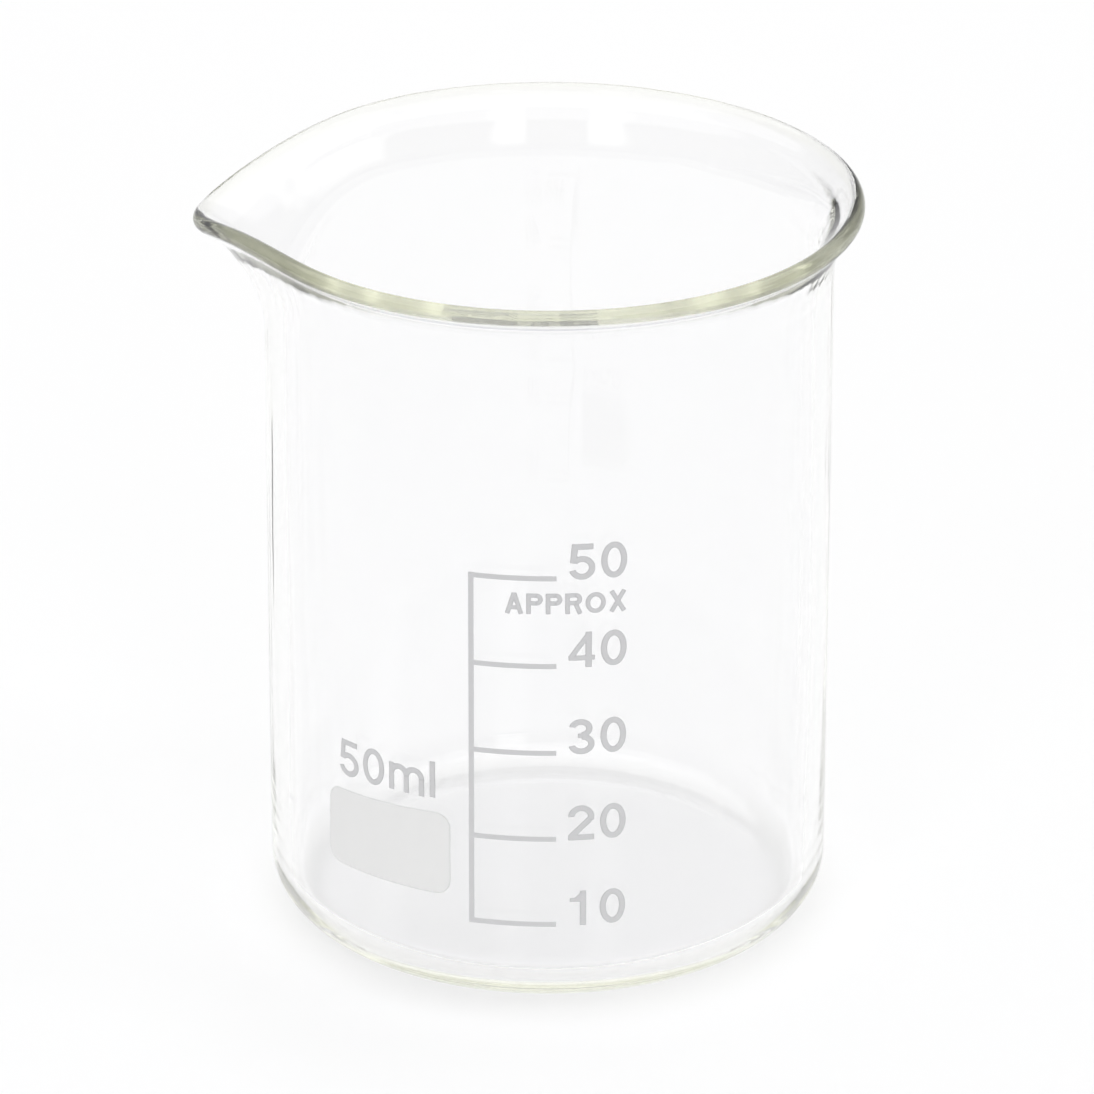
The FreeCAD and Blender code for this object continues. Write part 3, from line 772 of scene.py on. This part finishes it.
SCALE_LEFT, SCALE_RIGHT, SCALE_FOOT, SCALE_TOP = print_box("graduation_scale")
PATCH_LEFT, PATCH_RIGHT, PATCH_FOOT, _patch_top = print_box("marking_patch")
FIRST_MARK, TOP_MARK = SCALE_FOOT + LINE_WIDTH / 2, SCALE_TOP - LINE_WIDTH / 2
MARK_SPACING = (TOP_MARK - FIRST_MARK) / (len(MARK_VOLUMES) - 1)
NUMERAL_LEFT = SCALE_RIGHT + NUMERAL_GAP


def make_print(name, depth, box, node, slot, material, tree, grid=PRINT_GRID):
    mesh = flat_print(name, depth, box, grid)
    piece = made_by(tree, {"Body radius": BODY_RADIUS, "Enamel": material}, mesh, name)
    place_piece(piece, slot, node)


def make_text(name, text, left, foot, height, stroke, gap, node, material, tree, rise=0.0):
    width = text_width(text, height, stroke, gap)
    field = text_field(text, left, foot, height, stroke, gap, rise)
    room = stroke
    lift = width * math.tan(math.radians(rise))
    box = (left - room, left + width + room, foot - room, foot + height + lift + room)
    make_print(name, field, box, node, "enamel", material, tree)


def make_scale(enamel):
    values = {
        "Body radius": BODY_RADIUS, "Marks": len(MARK_VOLUMES), "First mark": FIRST_MARK,
        "Mark spacing": MARK_SPACING, "Stem's left side": SCALE_LEFT,
        "Marks' right end": SCALE_RIGHT, "Line width": LINE_WIDTH,
        "Enamel height": PRINT_HEIGHT, "Enamel root": PRINT_ROOT, "Enamel": enamel,
    }
    scale = made_by(scale_tree(), values, bpy.data.meshes.new("scale_start"), "printed_scale")
    place_piece(scale, "enamel", "graduation_scale")


def make_texts(enamel, tree):
    for step, volume in enumerate(MARK_VOLUMES):
        foot = FIRST_MARK + step * MARK_SPACING - NUMERAL_DROP
        make_text(f"printed_numeral_{volume}", str(volume), NUMERAL_LEFT, foot, NUMERAL_HEIGHT,
                  NUMERAL_STROKE, DIGIT_GAP, f"numeral_{volume}", enamel, tree)
    right = NUMERAL_LEFT + text_width("50", NUMERAL_HEIGHT, NUMERAL_STROKE, DIGIT_GAP)
    left = right - text_width("APPROX", WORD_HEIGHT, WORD_STROKE, LETTER_GAP)
    make_text("printed_approx_word", "APPROX", left, TOP_MARK - WORD_DROP - WORD_HEIGHT,
              WORD_HEIGHT, WORD_STROKE, LETTER_GAP, "approx_word", enamel, tree)
    width = text_width("50ml", CAPACITY_HEIGHT, CAPACITY_STROKE, DIGIT_GAP)
    left = (PATCH_LEFT + PATCH_RIGHT - width) / 2
    fall = (PATCH_RIGHT - left) * math.tan(math.radians(CAPACITY_RISE))
    make_text("printed_capacity", "50ml", left, PATCH_FOOT + PATCH_HEIGHT - fall + CAPACITY_GAP,
              CAPACITY_HEIGHT, CAPACITY_STROKE, DIGIT_GAP, "capacity_mark", enamel, tree,
              CAPACITY_RISE)


def make_patch(patch_enamel, tree):
    top = PATCH_FOOT + PATCH_HEIGHT
    field = patch_field(PATCH_LEFT, PATCH_RIGHT, PATCH_FOOT, top, CAPACITY_RISE, PATCH_CORNER)
    make_print("printed_patch", field, (PATCH_LEFT, PATCH_RIGHT, PATCH_FOOT, top), "marking_patch",
               "patch_enamel", patch_enamel, tree, 2 * PRINT_GRID)


# ---------------------------------------------------------------------------
# Materials
# ---------------------------------------------------------------------------
def blend(tree, share, first, second):
    """The colour between two, each plain or itself a blend."""
    node = tree.nodes.new("ShaderNodeMix")
    node.data_type = "RGBA"
    tree.links.new(share.socket, node.inputs["Factor"])
    for entry, colour in ((node.inputs[6], first), (node.inputs[7], second)):
        if isinstance(colour, Field):
            tree.links.new(colour.socket, entry)
        else:
            entry.default_value = (*colour, 1.0)
    return Field(tree, node.outputs[2])


class Surface:
    """A material's nodes, drawn in the object's own coordinates."""

    def __init__(self, name):
        self.material = bpy.data.materials.new(name)
        self.material.use_nodes = True
        self.tree = self.material.node_tree
        self.shader = self.tree.nodes["Principled BSDF"]
        self.coordinates = self.tree.nodes.new("ShaderNodeTexCoord").outputs["Object"]

    def plain(self, **values):
        """Sets values that are the same all over the surface."""
        for entry, value in values.items():
            self.shader.inputs[entry.replace("_", " ")].default_value = value

    def join(self, entry, field):
        self.tree.links.new(field.socket, self.shader.inputs[entry])

    def place(self):
        split = self.tree.nodes.new("ShaderNodeSeparateXYZ")
        self.tree.links.new(self.coordinates, split.inputs[0])
        return tuple(Field(self.tree, socket) for socket in split.outputs)

    def attribute(self, name):
        node = self.tree.nodes.new("ShaderNodeAttribute")
        node.attribute_name = name
        return Field(self.tree, node.outputs["Fac"])

    def vector(self, x, y, z):
        node = self.tree.nodes.new("ShaderNodeCombineXYZ")
        for entry, value in zip(node.inputs, (x, y, z)):
            self.tree.links.new(value.socket, entry)
        return node.outputs[0]

    def noise(self, scale, detail=3.0, vector=None):
        """Noise from 0 to 1; the scale is in waves per metre unless a vector is given."""
        node = self.tree.nodes.new("ShaderNodeTexNoise")
        node.inputs["Scale"].default_value = scale
        node.inputs["Detail"].default_value = detail
        self.tree.links.new(vector or self.coordinates, node.inputs["Vector"])
        return Field(self.tree, node.outputs["Fac"])

    def blend(self, share, first, second):
        return blend(self.tree, share, first, second)

    def bump(self, height, depth):
        """Raises the surface by up to a depth in metres."""
        node = self.tree.nodes.new("ShaderNodeBump")
        node.inputs["Distance"].default_value = depth
        self.tree.links.new(height.socket, node.inputs["Height"])
        self.tree.links.new(node.outputs[0], self.shader.inputs["Normal"])


def clear_glass():
    """Drawn and fire-polished borosilicate: clear in the wall, faintly olive in the thick lip."""
    surface = Surface("clear_borosilicate_glass")
    surface.plain(Roughness=0.0, IOR=GLASS_IOR, Transmission_Weight=1.0)
    x, y, z = surface.place()
    radius = (x * x + y * y).math("SQRT") + TINY
    east, north = x / radius, y / radius
    rim = surface.attribute("rim")
    streaks = surface.noise(1.0, 4.0, surface.vector(east * STREAK_TURN, north * STREAK_TURN,
                                                     (radius + z) * STREAK_ACROSS))
    cloud = surface.noise(GLASS_CLOUD, 2.0)
    tint = surface.blend(streaks, RIM_TINT_PALE, RIM_TINT_DEEP)
    wall = surface.blend(cloud, WALL_TINT_PALE, WALL_TINT_DEEP)
    surface.join("Base Color", surface.blend(rim, wall, tint))
    drawn = surface.noise(1.0, 2.0, surface.vector(east * DRAWN_TURN, north * DRAWN_TURN,
                                                   z * DRAWN_UP))
    above_heel = ((z - WAVE_FOOT) / WAVE_FOOT).math("MAXIMUM", 0.0).math("MINIMUM", 1.0)
    surface.bump(streaks * rim * RIM_WAVE + drawn * above_heel, GLASS_WAVE)
    absorption = surface.tree.nodes.new("ShaderNodeVolumeAbsorption")
    absorption.inputs["Color"].default_value = GLASS_ABSORPTION
    absorption.inputs["Density"].default_value = GLASS_DENSITY
    output = surface.tree.nodes["Material Output"]
    surface.tree.links.new(absorption.outputs[0], output.inputs["Volume"])
    return surface.material


def fired_enamel(name, pale, deep, edge, roughness):
    """Screen-printed enamel: a fine mottle, a darker line along its sloping edge, a little uneven.
    """
    surface = Surface(name)
    surface.plain(IOR=ENAMEL_IOR)
    mottle = surface.noise(ENAMEL_MOTTLE, 4.0)
    grain = surface.noise(ENAMEL_GRAIN, 3.0)
    field = surface.blend(mottle * (1.0 - GRAIN_SHARE) + grain * GRAIN_SHARE, pale, deep)
    rim = surface.attribute("enamel_edge").math("POWER", ENAMEL_EDGE_FALL)
    surface.join("Base Color", surface.blend(rim, field, edge))
    surface.join("Roughness", grain * GRAIN_ROUGHNESS + roughness)
    surface.bump(grain, GRAIN_DEPTH)
    return surface.material


# ---------------------------------------------------------------------------
# Stage
# ---------------------------------------------------------------------------
def make_floor():
    mesh = bpy.data.meshes.new("bench")
    mesh.from_pydata([(x * BENCH_HALF, y * BENCH_HALF, -BENCH_DROP)
                      for x, y in ((-1, -1), (1, -1), (1, 1), (-1, 1))], [], [(0, 1, 2, 3)])
    floor = bpy.data.objects.new("bench", mesh)
    surface = Surface("pale_bench")
    surface.plain(Roughness=BENCH_ROUGHNESS, Specular_IOR_Level=0.0)
    surface.join("Base Color", surface.blend(surface.noise(BENCH_CLOUD), BENCH_PALE, BENCH_DEEP))
    mesh.materials.append(surface.material)
    bpy.context.scene.collection.objects.link(floor)


def ramp(value, foot, top):
    """0 below the foot, 1 above the top, smooth between."""
    rise = ((value - foot) * (1.0 / (top - foot))).math("MAXIMUM", 0.0).math("MINIMUM", 1.0)
    return rise * rise * (3.0 - rise * 2.0)


def make_world():
    """A pale tent, brightest overhead, lamp strips in its lower part and a dim studio round it."""
    world = bpy.data.worlds.new("studio")
    world.use_nodes = True
    tree = world.node_tree
    split = tree.nodes.new("ShaderNodeSeparateXYZ")
    tree.links.new(tree.nodes.new("ShaderNodeTexCoord").outputs["Generated"], split.inputs[0])
    x, y, z = (Field(tree, socket) for socket in split.outputs)
    level = (x * x + y * y).math("SQRT") + TINY

    def facing(heading, half_width, softness):
        """1 within a half width of a heading and 0 past the softness; front is 0, right is 90."""
        turn = math.radians(heading)
        towards = (x * math.sin(turn) - y * math.cos(turn)) / level
        return ramp(towards, math.cos(math.radians(half_width + softness)),
                    math.cos(math.radians(half_width)))

    above_studio = ramp(z, STUDIO_TOP - LIGHT_EDGE, STUDIO_TOP + LIGHT_EDGE)
    overhead = ramp(z, LOW_TENT_TOP - LIGHT_EDGE, LOW_TENT_TOP + LIGHT_EDGE)
    strips = [facing(heading, half_width, LAMP_EDGE) for heading, half_width in LAMP_STRIPS]
    lamps = above_studio * (1.0 - overhead) * sum(strips[1:], strips[0]).math("MINIMUM", 1.0)
    behind = facing(180.0, BACK_HALF_WIDTH, BACK_EDGE)
    studio = blend(tree, behind, STUDIO_SIDES, STUDIO_BACK)
    tent = blend(tree, overhead, LOW_TENT_LIGHT, TENT_LIGHT)
    lit = blend(tree, lamps, blend(tree, above_studio, studio, tent), LAMP_LIGHT)
    tree.links.new(lit.socket, tree.nodes["Background"].inputs["Color"])
    bpy.context.scene.world = world


def set_light_paths():
    """Enough bounces for light that runs round inside the lip before it leaves the glass."""
    cycles = bpy.context.scene.cycles
    cycles.max_bounces = GLASS_BOUNCES
    cycles.transmission_bounces = GLASS_BOUNCES
    cycles.glossy_bounces = GLASS_BOUNCES
    cycles.diffuse_bounces = 4
    cycles.blur_glossy = 0.0
    bpy.context.scene.view_settings.view_transform = "Standard"


make_camera()
set_light_paths()
make_world()
make_floor()
glass = clear_glass()
make_vessel(glass)
enamel = fired_enamel("fired_white_enamel", *FIRED_WHITE)
patch_enamel = fired_enamel("matt_patch_enamel", *MATT_PATCH)
flat_to_wall = print_tree()
make_scale(enamel)
make_texts(enamel, flat_to_wall)
make_patch(patch_enamel, flat_to_wall)
